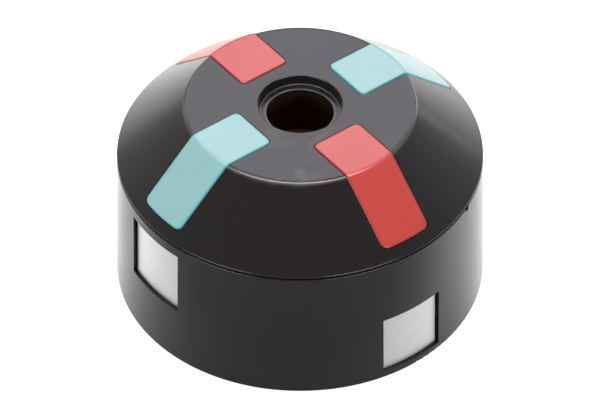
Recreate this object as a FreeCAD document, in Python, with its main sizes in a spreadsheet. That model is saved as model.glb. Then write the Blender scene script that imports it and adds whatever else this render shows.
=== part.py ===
"""A round countertop detacher for hard security tags.

A black two-shell housing holds a ring of magnets around a central well, which pulls the lock
of a tag open. Four block magnets stand behind square windows in the side, two high and two low,
each with a plated pole shoe that shows in the window, and a coloured inlay on the cover marks each
pair. Millimetres, +Z up, origin at the centre of the resting face. The windows look along +X, +Y,
-X and -Y.
"""
import FreeCAD, Part
import math
import os
import re
import Sketcher
from FreeCAD import Placement, Rotation, Vector

# Each size that can be set by itself. Heights of the shell are above its own bottom edge.
SIZES = {
    "foot_proud": 0.5,              # how far the rubber foot stands out under the housing
    "body_height": 58.4,            # bottom edge of the housing to the flat top of the cover
    "base_radius": 50.0,            # housing at its bottom edge
    "wall_taper": 0.85,             # how much the wall leans in from its foot to its rim
    "rim_height": 40.5,             # top edge of the housing
    "rim_gap": 0.45,                # shadow gap between housing and cover
    "rim_land": 0.5,                # upright edge of the cover above the gap
    "flat_radius": 30.8,            # flat top of the cover
    "flat_edge_radius": 1.8,        # rounding where the flat top turns into the cone
    "rim_edge_radius": 0.4,         # rounding of the housing's top edge
    "small_edge_radius": 0.3,       # rounding of the cover's edges
    "foot_edge_radius": 0.6,        # rounding of the housing's bottom edge
    "cover_thickness": 2.2,
    "wall_thickness": 2.6,
    "floor_thickness": 2.6,
    "skirt_thickness": 1.6,         # ring of the cover that drops inside the housing
    "skirt_clearance": 0.2,
    "key_width": 1.2,               # key of the cover in its nick in the housing's rim
    "key_clearance": 0.2,
    "key_depth": 1.3,
    "key_bearing": 27.15,           # degrees from -Y towards +X
    "bore_radius": 9.0,
    "seat_ledge": 1.3,              # lower ledge of the seat ring round the bore
    "seat_rim": 0.94,               # upper ledge, out to the cover's counterbore
    "seat_step": 0.65,
    "seat_flange_thickness": 2.1,
    "bore_depth": 14.2,             # inner step of the seat ring down to the floor of the well
    "well_wall": 1.6,
    "well_floor": 1.6,
    "well_flange_land": 2.76,       # flanges of seat ring and well past the counterbore
    "well_flange_thickness": 1.6,
    "stack_gap": 0.1,               # play between the stacked pieces
    "ring_clearance": 0.2,          # radial play of the magnets
    "ring_outer_radius": 20.0,
    "ring_magnet_height": 12.0,
    "spacer_height": 2.0,
    "magnet_chamfer": 0.4,
    "core_magnet_height": 8.0,
    "core_clearance": 0.4,
    "pole_top_radius": 7.0,
    "yoke_wall": 3.0,
    "yoke_floor": 4.0,
    "yoke_lip_drop": 2.0,           # rim of the yoke below the top of the magnets
    "yoke_edge_radius": 0.8,
    "carrier_wall": 2.0,
    "carrier_flange": 2.4,
    "carrier_lip": 5.0,
    "carrier_column_radius": 18.0,
    "carrier_column_wall": 2.5,
    "carrier_hole_radius": 6.0,
    "spigot_height": 3.0,           # ring on the floor that centres the carrier
    "spigot_wall": 2.0,
    "spigot_clearance": 0.2,
    "high_window_size": 19.7,       # square windows in the side wall
    "low_window_size": 18.8,
    "window_rim_land": 3.1,         # wall left above the high windows
    "window_foot_land": 2.1,        # wall left below the low windows
    "pocket_wall": 1.6,             # walls of the magnet pocket inside the housing
    "shoe_recess": 1.0,             # face of a pole shoe below the wall's surface
    "shoe_side_gap": 0.5,
    "shoe_end_gap": 0.1,
    "shoe_edge": 1.2,               # thickness of a pole shoe at its upright edges
    "shoe_edge_radius": 0.25,
    "magnet_fit": 0.2,
    "magnet_thickness": 8.0,
    "plate_height": 16.0,
    "plate_thickness": 3.0,
    "retainer_height": 12.0,
    "retainer_thickness": 2.5,
    "pillar_radius": 3.0,
    "pillar_gap": 0.8,              # between the pocket and each pillar
    "small_screw_radius": 1.25,
    "small_screw_length": 8.0,
    "small_head_radius": 2.3,
    "small_head_height": 1.7,
    "screw_play": 0.1,              # hole wall to shank
    "inlay_width": 15.2,
    "inlay_start": 15.15,           # axis to the inner end of an inlay
    "inlay_rim_margin": 2.5,        # edge of the cover to the outer end of an inlay
    "inlay_corner_radius": 1.75,
    "inlay_recess": 1.0,
    "inlay_proud": 0.25,
    "inlay_fit": 0.15,
    "post_radius": 5.5,             # posts that take the cover screws
    "post_wall_gap": 1.5,
    "post_split": 20.0,             # joint of the lower and upper posts
    "upper_post_radius": 4.0,
    "post_rib": 2.0,
    "cover_screw_radius": 1.95,
    "cover_screw_length": 22.0,
    "cover_screw_sink": 11.5,       # bottom edge of the housing to the head's seat
    "cover_head_radius": 3.4,
    "cover_head_height": 2.4,
    "head_play": 0.4,
    "foot_inner_radius": 21.0,
    "foot_outer_radius": 31.0,
    "foot_groove": 1.2,
    "foot_fit": 0.15,
}

# Places and sizes that follow from them, each written in the names above it.
DERIVED = {
    "cover_top": "foot_proud + body_height",
    "floor_top": "foot_proud + floor_thickness",
    "rim_top": "foot_proud + rim_height",
    "rim_radius": "base_radius - wall_taper",
    "cover_bottom": "rim_top + rim_gap",
    "cone_foot": "cover_bottom + rim_land",
    "cone_rise": "cover_top - cone_foot",
    "cone_run": "rim_radius - flat_radius",
    "cone_length": "sqrt(cone_rise * cone_rise + cone_run * cone_run)",
    "cone_fall": "cone_rise / cone_run",
    "cone_out": "cone_rise / cone_length",
    "cone_up": "cone_run / cone_length",
    "bend_shift": "(cone_length - cone_run) / cone_rise",
    "skirt_drop": "window_rim_land - pocket_wall - skirt_clearance",
    "skirt_radius": "rim_radius - wall_thickness - skirt_clearance",
    "skirt_inner": "skirt_radius - skirt_thickness",
    "skirt_top": "cover_top - (skirt_inner - flat_radius) * cone_fall - cover_thickness / cone_up",
    "seat_step_radius": "bore_radius + seat_ledge",
    "counterbore_radius": "seat_step_radius + seat_rim",
    "well_flange_radius": "counterbore_radius + well_flange_land",
    "seat_top": "cover_top - cover_thickness - stack_gap",
    "seat_bottom": "seat_top - seat_flange_thickness",
    "well_floor_top": "seat_top - seat_step - bore_depth",
    "well_bottom": "well_floor_top - well_floor",
    "well_flange_bottom": "seat_bottom - well_flange_thickness",
    "well_radius": "bore_radius + well_wall",
    "ring_inner_radius": "well_radius + ring_clearance",
    "stack_top": "well_flange_bottom - stack_gap",
    "spacer_top": "stack_top - ring_magnet_height",
    "spacer_bottom": "spacer_top - spacer_height",
    "stack_bottom": "spacer_bottom - ring_magnet_height",
    "core_radius": "ring_inner_radius - core_clearance",
    "core_top": "stack_bottom + core_magnet_height",
    "yoke_inner_radius": "ring_outer_radius + ring_clearance",
    "yoke_radius": "yoke_inner_radius + yoke_wall",
    "yoke_bottom": "stack_bottom - yoke_floor",
    "carrier_inner_radius": "yoke_radius + ring_clearance",
    "carrier_radius": "carrier_inner_radius + carrier_wall",
    "column_inner_radius": "carrier_column_radius - carrier_column_wall",
    "spigot_radius": "column_inner_radius - spigot_clearance",
    "half_high": "high_window_size / 2",
    "half_low": "low_window_size / 2",
    "high_window": "rim_top - window_rim_land - half_high",
    "low_window": "foot_proud + window_foot_land + half_low",
    "shoe_half": "half_high - shoe_side_gap",
    "shoe_radius": "rim_radius - shoe_recess",
    "magnet_face": "sqrt(shoe_radius * shoe_radius - shoe_half * shoe_half) - shoe_edge",
    "magnet_back": "magnet_face - magnet_thickness",
    "plate_back": "magnet_back - plate_thickness",
    "pillar_offset": "half_high + pocket_wall + pillar_gap + pillar_radius",
    "retainer_back": "plate_back - retainer_thickness",
    "inlay_end": "rim_radius - inlay_rim_margin",
    "inlay_end_height": "cover_top - (inlay_end - flat_radius) * cone_fall",
    "post_circle": "rim_radius - wall_thickness - post_wall_gap - post_radius",
    "post_offset": "post_circle / sqrt(2)",
    "post_top": "foot_proud + post_split",
    "upper_post_bottom": "post_top + stack_gap",
    "cover_screw_seat": "foot_proud + cover_screw_sink",
    "key_radius": "rim_radius - wall_thickness / 2",
}

# Each window: its name, quarter turns from +X, the height of its centre and half its size.
SIDES = (("right", 0, "high_window", "half_high"), ("back", 1, "low_window", "half_low"),
         ("left", 2, "high_window", "half_high"), ("front", 3, "low_window", "half_low"))
DIAGONALS = ((1, 1), (-1, 1), (-1, -1), (1, -1))
NAME = re.compile(r"[a-z][a-z_]{3,}")
REACH = "(2 * base_radius)"
# Shares of a screw's head or shank that its shape is made of.
CROSS_REACH, CROSS_HALF_WIDTH, CROSS_DEPTH, TIP_SHARE = 0.62, 0.14, 0.6, 0.6

doc = FreeCAD.newDocument("detacher")
sheet = doc.addObject("Spreadsheet::Sheet", "Sizes")
derived = doc.addObject("App::VarSet", "Derived")
parts = {}


def formula(text, home=None):
    """Put the object that holds each size in front of its name."""
    def lead(match):
        word = match.group(0)
        if word in SIZES:
            return "Sizes." + word
        if word in DERIVED:
            return word if home is derived else "Derived." + word
        return word
    return NAME.sub(lead, str(text))


def value(text):
    """The number that a formula stands for now."""
    return float(derived.evalExpression(formula(text)))


def bind(thing, prop, text):
    thing.setExpression(prop, formula(text, thing))


def write_sizes():
    for row, (name, number) in enumerate(SIZES.items(), 1):
        sheet.set("A%d" % row, name)
        sheet.set("B%d" % row, str(number))
        sheet.setAlias("B%d" % row, name)
    doc.recompute()
    for name, text in DERIVED.items():
        derived.addProperty("App::PropertyFloat", name)
        bind(derived, name, text)
    doc.recompute()


# ---- building blocks ------------------------------------------------------------------------

def keep(name, shape):
    """Name a finished sub-part."""
    shape.Label = name
    parts[name] = shape
    return shape


def new_body(name):
    return doc.addObject("PartDesign::Body", name)


def outline(body, name, role, corners, height=None):
    """A closed outline of straight edges on an origin plane of the body.

    Each corner is a pair of formulas: (radius, height) on XZ_Plane, (x, y) on XY_Plane.
    """
    sketch = body.newObject("Sketcher::SketchObject", name)
    plane = next(item for item in body.Origin.OriginFeatures if item.Role == role)
    sketch.AttachmentSupport = (plane, [""])
    sketch.MapMode = "FlatFace"
    if height is not None:
        bind(sketch, "AttachmentOffset.Base.z", height)
    points = [Vector(value(across), value(along), 0) for across, along in corners]
    count = len(points)
    sketch.addGeometry([Part.LineSegment(points[i], points[(i + 1) % count])
                        for i in range(count)], False)
    for i in range(count):
        sketch.addConstraint(Sketcher.Constraint("Coincident", i, 2, (i + 1) % count, 1))
    for i, corner in enumerate(corners):
        for kind, text in zip(("DistanceX", "DistanceY"), corner):
            pin_corner(sketch, i, kind, text)
    return sketch


def pin_corner(sketch, corner, kind, text):
    """Hold one coordinate of a corner at a formula's value."""
    number = value(text)
    if str(text) == "0":
        axis = -2 if kind == "DistanceX" else -1
        sketch.addConstraint(Sketcher.Constraint("PointOnObject", corner, 1, axis))
        return
    ends = (-1, 1, corner, 1) if number > 0 else (corner, 1, -1, 1)
    index = sketch.addConstraint(Sketcher.Constraint(kind, *ends, abs(number)))
    sign = "" if number > 0 else "-"
    bind(sketch, "Constraints[%d]" % index, "%s(%s)" % (sign, text))


def revolve(body, corners, angle=360):
    """Turn an outline about the Z axis; less than a full turn is centred on +X."""
    turned = body.newObject("PartDesign::Revolution", body.Name + "_turned")
    turned.Profile = (outline(body, body.Name + "_outline", "XZ_Plane", corners), [""])
    turned.ReferenceAxis = (turned.Profile[0], ["V_Axis"])
    turned.Angle = angle
    turned.Midplane = angle < 360
    doc.recompute()
    return turned


def round_edges(body, base, radius, wanted, kind="Fillet"):
    """Round or chamfer the edges of a feature for which wanted(edge) is true."""
    names = ["Edge%d" % i for i, edge in enumerate(base.Shape.Edges, 1) if wanted(edge)]
    done = body.newObject("PartDesign::" + kind, "%s_%s_%d" % (body.Name, kind, len(body.Group)))
    done.Base = (base, names)
    bind(done, "Radius" if kind == "Fillet" else "Size", radius)
    doc.recompute()
    return done


def circle_at(radius, height):
    """A test for circular edges about Z at a radius and a height."""
    near, level = value(radius), value(height)

    def wanted(edge):
        curve = edge.Curve
        return (isinstance(curve, Part.Circle) and abs(curve.Radius - near) < 0.01
                and abs(curve.Center.z - level) < 0.01)
    return wanted


def any_circle(edge):
    return isinstance(edge.Curve, Part.Circle)


def turn(quarter, out, across):
    """Formulas of a point after quarter turns about Z, from +X towards +Y."""
    return ((out, across), ("-(%s)" % across, out),
            ("-(%s)" % out, "-(%s)" % across), (across, "-(%s)" % out))[quarter]


def place(thing, x, y, z, rotation=None):
    if rotation is not None:
        thing.Placement = Placement(Vector(), rotation)
    for axis, text in zip("xyz", (x, y, z)):
        bind(thing, "Placement.Base." + axis, text)


def facing(quarter):
    return Rotation(Vector(0, 0, 1), 90 * quarter)


def block(name, near, far, half, low, high, quarter=0):
    """A box from near to far along a window's direction, half to each side of it."""
    box = doc.addObject("Part::Box", name)
    bind(box, "Length", "%s - (%s)" % (far, near))
    bind(box, "Width", "2 * (%s)" % half)
    bind(box, "Height", "%s - (%s)" % (high, low))
    place(box, *turn(quarter, near, "-(%s)" % half), low, facing(quarter))
    return box


def rod(name, radius, x, y, low, high):
    """An upright cylinder."""
    cylinder = doc.addObject("Part::Cylinder", name)
    bind(cylinder, "Radius", radius)
    bind(cylinder, "Height", "%s - (%s)" % (high, low))
    place(cylinder, x, y, low)
    return cylinder


def side_rod(name, radius, quarter, near, far, across, height):
    """A cylinder along a window's direction."""
    cylinder = doc.addObject("Part::Cylinder", name)
    bind(cylinder, "Radius", radius)
    bind(cylinder, "Height", "%s - (%s)" % (far, near))
    place(cylinder, *turn(quarter, near, across), height,
          facing(quarter) * Rotation(Vector(0, 1, 0), 90))
    return cylinder


def fuse(name, shapes):
    joined = doc.addObject("Part::MultiFuse", name)
    joined.Shapes = shapes
    joined.Refine = True
    return joined


def cut(name, base, tools):
    rest = doc.addObject("Part::Cut", name)
    rest.Base = base
    rest.Tool = fuse(name + "_tools", tools) if len(tools) > 1 else tools[0]
    rest.Refine = True
    return rest


def common(name, first, second):
    shared = doc.addObject("Part::Common", name)
    shared.Base = first
    shared.Tool = second
    return shared


def group(name, shapes):
    """Separate solids that share one node."""
    together = doc.addObject("Part::Compound", name + "_group")
    together.Links = shapes
    return keep(name, together)


# ---- shells ---------------------------------------------------------------------------------

def inside_of(name, lean_in):
    """The solid that fills the shell, lean_in deep under its outer surface."""
    body = new_body(name)
    revolve(body, [
        ("0", "foot_proud + %s" % lean_in),
        ("base_radius - %s" % lean_in, "foot_proud + %s" % lean_in),
        ("rim_radius - %s" % lean_in, "cone_foot"),
        ("flat_radius - %s * bend_shift" % lean_in, "cover_top - %s" % lean_in),
        ("0", "cover_top - %s" % lean_in)])
    return body


def housing_shell():
    """The cup: drafted wall, floor, groove for the foot and a ring that centres the carrier."""
    body = new_body("housing_shell")
    cup = revolve(body, [
        ("0", "foot_proud"),
        ("foot_inner_radius", "foot_proud"),
        ("foot_inner_radius", "foot_proud + foot_groove"),
        ("foot_outer_radius", "foot_proud + foot_groove"),
        ("foot_outer_radius", "foot_proud"),
        ("base_radius", "foot_proud"),
        ("rim_radius", "rim_top"),
        ("rim_radius - wall_thickness", "rim_top"),
        ("base_radius - wall_thickness", "floor_top"),
        ("spigot_radius", "floor_top"),
        ("spigot_radius", "floor_top + spigot_height"),
        ("spigot_radius - spigot_wall", "floor_top + spigot_height"),
        ("spigot_radius - spigot_wall", "floor_top"),
        ("0", "floor_top")])
    cup = round_edges(body, cup, "foot_edge_radius", circle_at("base_radius", "foot_proud"))
    round_edges(body, cup, "rim_edge_radius", circle_at("rim_radius", "rim_top"))
    return body


def base_housing():
    """The cup with its magnet pockets, pillars, posts and the holes through them."""
    inner = inside_of("housing_filling", "wall_thickness / 2")
    added, removed = [], []
    for name, quarter, window, half in SIDES:
        pocket = half + " + pocket_wall"
        added.append(block("pocket_" + name, "magnet_back", REACH, pocket,
                           "%s - (%s)" % (window, pocket), "%s + %s" % (window, pocket), quarter))
        removed.append(block("window_" + name, "magnet_back - screw_play", REACH, half,
                             "%s - %s" % (window, half), "%s + %s" % (window, half), quarter))
        for hand in ("", "-"):
            spot = (quarter, "plate_back", REACH, hand + "pillar_offset", window)
            added.append(side_rod("pillar", "pillar_radius", *spot))
            hole = (quarter, "plate_back - screw_play", "retainer_back + small_screw_length + 1",
                    hand + "pillar_offset", window)
            removed.append(side_rod("pillar_hole", "small_screw_radius + screw_play", *hole))
    for right, back in DIAGONALS:
        x, y = "%d * post_offset" % right, "%d * post_offset" % back
        added.append(rod("post", "post_radius", x, y, "foot_proud", "post_top"))
        added.append(post_rib(right, back, x, y))
        removed.append(rod("head_hole", "cover_head_radius + head_play", x, y,
                           "0", "cover_screw_seat"))
        removed.append(rod("shank_hole", "cover_screw_radius + screw_play", x, y,
                           "0", "post_top + 1"))
    fittings = common("housing_fittings", fuse("housing_added", added), inner)
    removed.append(key_block("key_nick", "key_width / 2 + key_clearance", "rim_radius * 0.8",
                             REACH, "rim_top - key_depth", "rim_top + 1"))
    solid = fuse("housing_solid", [housing_shell(), fittings])
    keep("base_housing", cut("housing_cut", solid, removed))


def post_rib(right, back, x, y):
    """The web from a post straight out to the wall."""
    rib = block("rib", "0", REACH, "post_rib / 2", "foot_proud", "post_top")
    shift = "post_rib / 2 / sqrt(2)"
    place(rib, "%s + %d * %s" % (x, back, shift), "%s - %d * %s" % (y, right, shift),
          "foot_proud", Rotation(Vector(0, 0, 1), math.degrees(math.atan2(back, right))))
    return rib


def key_block(name, half, near, far, low, high):
    """A block on the bearing of the cover's key."""
    block_ = block(name, near, far, half, low, high)
    bearing = math.radians(value("key_bearing") - 90)
    place(block_, "0", "0", low, Rotation(Vector(0, 0, 1), math.degrees(bearing)))
    for axis, text in (("x", "(%s) * sin(key_bearing) - (%s) * cos(key_bearing)"),
                       ("y", "0 - (%s) * cos(key_bearing) - (%s) * sin(key_bearing)")):
        bind(block_, "Placement.Base." + axis, text % (near, half))
    bind(block_, "Placement.Rotation.Angle", "key_bearing - 90")
    return block_


def trim_strip(body, start, half):
    """Cut away all of a turned band but a strip along +X, from start outwards."""
    trim = body.newObject("PartDesign::Pocket", body.Name + "_trim")
    trim.Profile = (outline(body, body.Name + "_trim_outline", "XY_Plane", [
        (REACH, "-" + REACH), (REACH, "-" + half), (start, "-" + half), (start, half),
        (REACH, half), (REACH, REACH), ("0", REACH), ("0", "-" + REACH)]), [""])
    trim.Type = "ThroughAll"
    trim.Midplane = True
    doc.recompute()
    return trim


def inlay_band(name, below, above, play):
    """A strip that follows the cover's flat and cone, from below to above its surface.

    It is a band turned about Z, trimmed to the strip's width and straight inner end; play is
    added all round, and its outer end stays an arc about the axis.
    """
    body = new_body(name)
    end = "inlay_end + %s" % play
    fall = "inlay_end_height - %s * cone_fall" % play
    band = revolve(body, [
        ("counterbore_radius", "cover_top + %s" % above),
        ("flat_radius + %s * bend_shift" % above, "cover_top + %s" % above),
        ("%s + %s * cone_out" % (end, above), "%s + %s * cone_up" % (fall, above)),
        ("%s - %s * cone_out" % (end, below), "%s - %s * cone_up" % (fall, below)),
        ("flat_radius - %s * bend_shift" % below, "cover_top - %s" % below),
        ("counterbore_radius", "cover_top - %s" % below)], angle=80)
    band = round_edges(body, band, "flat_edge_radius + %s" % above,
                       circle_at("flat_radius + %s * bend_shift" % above,
                                 "cover_top + %s" % above))
    band = round_edges(body, band, "flat_edge_radius - %s" % below,
                       circle_at("flat_radius - %s * bend_shift" % below,
                                 "cover_top - %s" % below))
    half, start = "(inlay_width / 2 + %s)" % play, "inlay_start - %s" % play
    trim = trim_strip(body, start, half)
    edge_y = value(half)

    def corner(edge):
        """Short edges where a side meets an end."""
        ends = [vertex.Point for vertex in edge.Vertexes]
        if len(ends) < 2 or any(abs(abs(end.y) - edge_y) > 0.01 for end in ends):
            return False
        if ends[0].y * ends[1].y < 0:
            return False
        outer = min(end.x for end in ends) > (value("flat_radius") + value("inlay_end")) / 2
        inner = max(end.x for end in ends) < value(start) + 0.01
        return outer or inner
    round_edges(body, trim, "inlay_corner_radius", corner)
    return body


def inlays():
    colours = {"right": "teal", "left": "teal", "front": "red", "back": "red"}
    for name, quarter, _, _ in SIDES:
        body = inlay_band("inlay_" + name, "inlay_recess", "inlay_proud", "0")
        body.Placement = Placement(Vector(), facing(quarter))
        keep("%s_inlay_%s" % (colours[name], name), body)


def cover_shell():
    """The cone with its flat top, counterbore, upright edge and locating skirt."""
    body = new_body("cover_shell")
    cone = revolve(body, [
        ("counterbore_radius", "cover_top"),
        ("flat_radius", "cover_top"),
        ("rim_radius", "cone_foot"),
        ("rim_radius", "cover_bottom"),
        ("skirt_radius", "cover_bottom"),
        ("skirt_radius", "rim_top - skirt_drop"),
        ("skirt_inner", "rim_top - skirt_drop"),
        ("skirt_inner", "skirt_top"),
        ("flat_radius - cover_thickness * bend_shift", "cover_top - cover_thickness"),
        ("counterbore_radius", "cover_top - cover_thickness")])
    cone = round_edges(body, cone, "flat_edge_radius", circle_at("flat_radius", "cover_top"))
    for radius, height in (("counterbore_radius", "cover_top"), ("rim_radius", "cone_foot"),
                           ("rim_radius", "cover_bottom")):
        cone = round_edges(body, cone, "small_edge_radius", circle_at(radius, height))
    return body


def top_cover():
    """The cover with its posts, its key and the recesses for the inlays."""
    posts, holes, recesses = [], [], []
    for right, back in DIAGONALS:
        x, y = "%d * post_offset" % right, "%d * post_offset" % back
        posts.append(rod("upper_post", "upper_post_radius", x, y,
                         "upper_post_bottom", "cover_top"))
        holes.append(rod("upper_hole", "cover_screw_radius + screw_play", x, y,
                         "upper_post_bottom - 1", "cover_screw_seat + cover_screw_length + 1"))
    for name, quarter, _, _ in SIDES:
        recess = inlay_band("recess_" + name, "inlay_recess", "inlay_recess", "inlay_fit")
        recess.Placement = Placement(Vector(), facing(quarter))
        recesses.append(recess)
    inner = inside_of("cover_filling", "cover_thickness / 2")
    fittings = common("cover_fittings", fuse("cover_posts", posts), inner)
    key = key_block("cover_key", "key_width / 2", "skirt_inner + skirt_thickness / 2",
                    "key_radius", "rim_top - key_depth + key_clearance",
                    "cover_bottom + rim_land / 2")
    solid = fuse("cover_solid", [cover_shell(), fittings, key])
    keep("top_cover", cut("cover_cut", solid, holes + recesses))


# ---- well and magnet stack ------------------------------------------------------------------

def turned_part(name, corners):
    body = new_body(name + "_body")
    keep(name, body)
    return body, revolve(body, corners)


def tag_seat_ring():
    """The stepped ring in the mouth, held by its flange under the cover."""
    body, ring = turned_part("tag_seat_ring", [
        ("bore_radius", "seat_bottom"),
        ("well_flange_radius", "seat_bottom"),
        ("well_flange_radius", "seat_top"),
        ("seat_step_radius", "seat_top"),
        ("seat_step_radius", "seat_top - seat_step"),
        ("bore_radius", "seat_top - seat_step")])
    for radius, height in (("bore_radius", "seat_top - seat_step"),
                           ("seat_step_radius", "seat_top")):
        ring = round_edges(body, ring, "small_edge_radius / 2", circle_at(radius, height))


def tag_well():
    """The blind well that takes the lock of the tag."""
    turned_part("tag_well", [
        ("0", "well_bottom"),
        ("well_radius", "well_bottom"),
        ("well_radius", "well_flange_bottom"),
        ("well_flange_radius", "well_flange_bottom"),
        ("well_flange_radius", "seat_bottom"),
        ("bore_radius", "seat_bottom"),
        ("bore_radius", "well_floor_top"),
        ("0", "well_floor_top")])


def stack_ring(name, low, high, chamfered):
    body, ring = turned_part(name, [
        ("ring_inner_radius", low), ("ring_outer_radius", low),
        ("ring_outer_radius", high), ("ring_inner_radius", high)])
    if chamfered:
        round_edges(body, ring, "magnet_chamfer", any_circle, kind="Chamfer")


def magnet_stack():
    stack_ring("upper_ring_magnet", "spacer_top", "stack_top", True)
    stack_ring("flux_spacer_ring", "spacer_bottom", "spacer_top", False)
    stack_ring("lower_ring_magnet", "stack_bottom", "spacer_bottom", True)
    body, core = turned_part("core_magnet", [
        ("0", "stack_bottom"), ("core_radius", "stack_bottom"),
        ("core_radius", "core_top"), ("0", "core_top")])
    round_edges(body, core, "magnet_chamfer", any_circle, kind="Chamfer")
    turned_part("pole_tip", [
        ("0", "core_top"), ("core_radius", "core_top"),
        ("pole_top_radius", "well_bottom - stack_gap"), ("0", "well_bottom - stack_gap")])


def yoke_cup():
    """The steel cup that closes the magnets' circuit."""
    body, cup = turned_part("yoke_cup", [
        ("0", "yoke_bottom"), ("yoke_radius", "yoke_bottom"),
        ("yoke_radius", "stack_top - yoke_lip_drop"),
        ("yoke_inner_radius", "stack_top - yoke_lip_drop"),
        ("yoke_inner_radius", "stack_bottom"), ("0", "stack_bottom")])
    round_edges(body, cup, "yoke_edge_radius", circle_at("yoke_radius", "yoke_bottom"))


def magnet_carrier():
    """The plastic spool between the floor and the yoke."""
    tray, foot = "yoke_bottom - carrier_flange", "floor_top + carrier_flange"
    turned_part("magnet_carrier", [
        ("column_inner_radius", "floor_top"), ("carrier_radius", "floor_top"),
        ("carrier_radius", foot), ("carrier_column_radius", foot),
        ("carrier_column_radius", tray), ("carrier_radius", tray),
        ("carrier_radius", "yoke_bottom + carrier_lip"),
        ("carrier_inner_radius", "yoke_bottom + carrier_lip"),
        ("carrier_inner_radius", "yoke_bottom"), ("carrier_hole_radius", "yoke_bottom"),
        ("carrier_hole_radius", tray), ("column_inner_radius", tray)])


# ---- side magnets ---------------------------------------------------------------------------

def chamfered_block(name, near, far, half, low, high, quarter):
    """A plated block with broken edges."""
    body = new_body(name + "_body")
    box = body.newObject("PartDesign::Pad", name + "_pad")
    box.Profile = (outline(body, name + "_outline", "XY_Plane", [
        (near, "-(%s)" % half), (far, "-(%s)" % half), (far, half), (near, half)]), [""])
    bind(box, "Length", "%s - (%s)" % (high, low))
    doc.recompute()
    round_edges(body, box, "magnet_chamfer", lambda edge: True, kind="Chamfer")
    place(body, "0", "0", low, facing(quarter))
    keep(name, body)


def pole_shoe(side, quarter, window, half):
    """The plated steel face of a window: curved like the wall in front, flat at the back."""
    body = new_body("pole_shoe_%s_body" % side)
    low = "(%s - %s + shoe_end_gap)" % (window, half)
    high = "(%s + %s - shoe_end_gap)" % (window, half)
    face = "base_radius - wall_taper * (%s - foot_proud) / rim_height - shoe_recess"
    revolve(body, [("magnet_face / 2", low), (face % low, low),
                   (face % high, high), ("magnet_face / 2", high)], angle=60)
    shoe = trim_strip(body, "magnet_face", "(%s - shoe_side_gap)" % half)
    back = value("magnet_face") + 0.01
    round_edges(body, shoe, "shoe_edge_radius",
                lambda edge: min(vertex.X for vertex in edge.Vertexes) > back)
    body.Placement = Placement(Vector(), facing(quarter))
    keep("pole_shoe_" + side, body)


def side_set(side, quarter, window, half):
    """One pole shoe, its magnet, the steel backing plate and the bar that holds them."""
    pole_shoe(side, quarter, window, half)
    magnet = "(%s - magnet_fit)" % half
    chamfered_block("side_magnet_" + side, "magnet_back", "magnet_face", magnet,
                    "%s - %s" % (window, magnet), "%s + %s" % (window, magnet), quarter)
    keep("backing_plate_" + side,
         block("plate_" + side, "plate_back", "magnet_back", half + " + pocket_wall",
               window + " - plate_height / 2", window + " + plate_height / 2", quarter))
    bar = block("bar_" + side, "retainer_back", "plate_back", "pillar_offset",
                window + " - retainer_height / 2", window + " + retainer_height / 2", quarter)
    ends, holes = [], []
    for hand in ("", "-"):
        across = hand + "pillar_offset"
        ends.append(side_rod("bar_end", "retainer_height / 2", quarter, "retainer_back",
                             "plate_back", across, window))
        holes.append(side_rod("bar_hole", "small_screw_radius + screw_play", quarter,
                              "retainer_back - 1", "plate_back + 1", across, window))
    keep("magnet_retainer_" + side,
         cut("retainer_" + side, fuse("bar_" + side + "_solid", [bar] + ends), holes))


# ---- fasteners and foot ---------------------------------------------------------------------

def screw(name, shank, length, head, head_height):
    """A pan-head screw, its shank along +Z from the head's seat at zero, with a cross recess."""
    body = new_body(name)
    tip = "(%s) * %s" % (shank, TIP_SHARE)
    solid = revolve(body, [
        ("0", "-(%s)" % head_height), (head, "-(%s)" % head_height), (head, "0"),
        (shank, "0"), (shank, "%s - (%s)" % (length, shank)), (tip, length), ("0", length)])
    round_edges(body, solid, "(%s) / 3" % head_height, circle_at(head, "-(%s)" % head_height))
    arm, slot = "(%s) * %s" % (head, CROSS_REACH), "(%s) * %s" % (head, CROSS_HALF_WIDTH)
    quarter = [(slot, slot), (slot, arm), ("-" + slot, arm), ("-" + slot, slot),
               ("-" + arm, slot), ("-" + arm, "-" + slot), ("-" + slot, "-" + slot),
               ("-" + slot, "-" + arm), (slot, "-" + arm), (slot, "-" + slot),
               (arm, "-" + slot), (arm, slot)]
    recess = body.newObject("PartDesign::Pocket", name + "_recess")
    recess.Profile = (outline(body, name + "_cross", "XY_Plane", quarter,
                              height="-(%s)" % head_height), [""])
    recess.Reversed = True
    bind(recess, "Length", "(%s) * %s" % (head_height, CROSS_DEPTH))
    before = body.Shape.Volume
    doc.recompute()
    if not body.Shape.Volume < before:
        raise RuntimeError(name + ": the cross recess cuts nothing")
    return body


def cover_screws():
    made = []
    for number, (right, back) in enumerate(DIAGONALS, 1):
        body = screw("cover_screw_%d" % number, "cover_screw_radius", "cover_screw_length",
                     "cover_head_radius", "cover_head_height")
        place(body, "%d * post_offset" % right, "%d * post_offset" % back, "cover_screw_seat")
        made.append(body)
    group("cover_screws", made)


def retainer_screws():
    made = []
    for side, quarter, window, _ in SIDES:
        for hand, across in (("a", "pillar_offset"), ("b", "-pillar_offset")):
            body = screw("retainer_screw_%s_%s" % (side, hand), "small_screw_radius",
                         "small_screw_length", "small_head_radius", "small_head_height")
            place(body, *turn(quarter, "retainer_back", across), window,
                  facing(quarter) * Rotation(Vector(0, 1, 0), 90))
            made.append(body)
    group("retainer_screws", made)


def foot_ring():
    """The rubber ring in its groove, standing out below the housing."""
    body, ring = turned_part("foot_ring", [
        ("foot_inner_radius + foot_fit", "0"), ("foot_outer_radius - foot_fit", "0"),
        ("foot_outer_radius - foot_fit", "foot_proud + foot_groove"),
        ("foot_inner_radius + foot_fit", "foot_proud + foot_groove")])
    round_edges(body, ring, "foot_proud / 2", lambda edge: any_circle(edge)
                and abs(edge.Curve.Center.z) < 0.01)


# ---- the whole ------------------------------------------------------------------------------

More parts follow.
